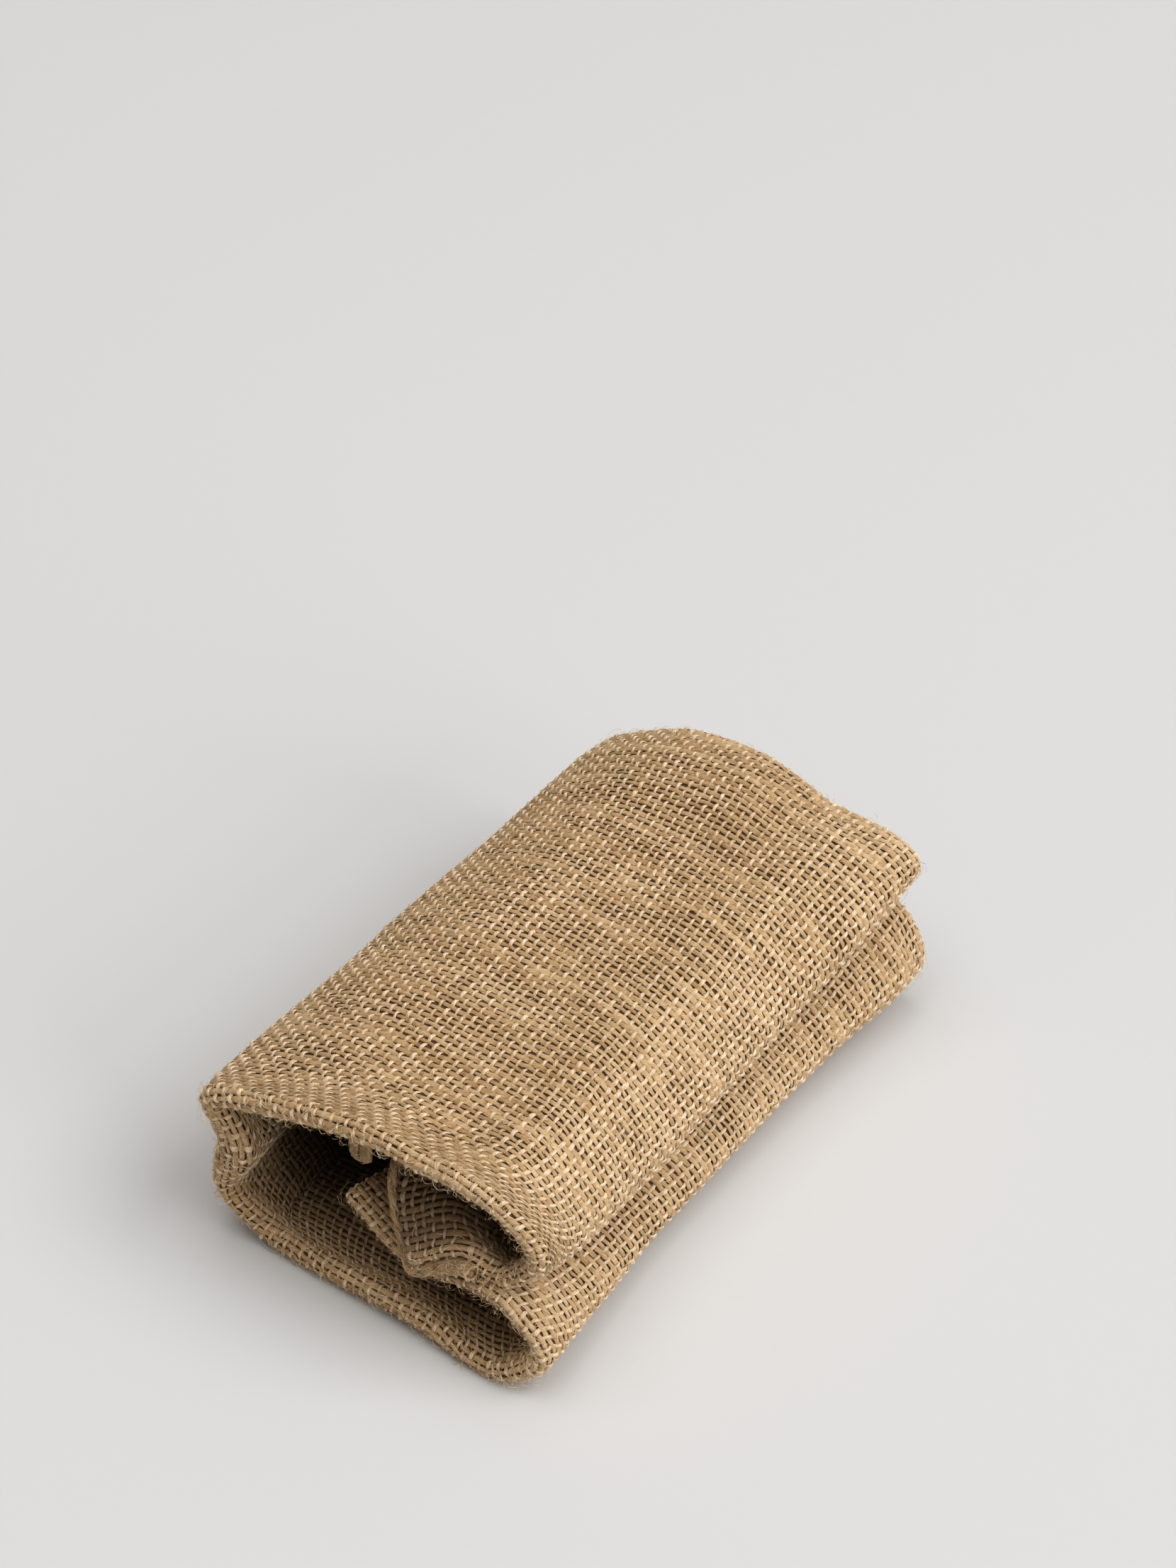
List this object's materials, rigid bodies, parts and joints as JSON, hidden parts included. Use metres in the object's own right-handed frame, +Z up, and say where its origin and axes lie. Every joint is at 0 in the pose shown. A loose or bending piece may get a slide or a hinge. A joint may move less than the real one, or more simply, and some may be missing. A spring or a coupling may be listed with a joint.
{
  "type": "folded jute sack",
  "caption": "Coarse woven jute sack for storing or carrying goods, folded into a soft open parcel with rounded folds, an overcast side seam and loose inner flaps.",
  "frame": {"origin": "middle of the parcel's outline, on the surface it lies on", "axes": "+Z up, +Y along the parcel and its rounded folds, +X towards the side with the two rounded folds"},
  "size_m": [0.1486, 0.2432, 0.0872],
  "materials": {
    "jute_cloth": "coarse open plain weave, matt",
    "jute_seam": "thick overcast yarn, matt"
  },
  "bodies": {
    "root": {"bag_cloth": "jute_cloth", "seam_side": "jute_seam", "seam_end": "jute_seam"}
  },
  "joints": []
}
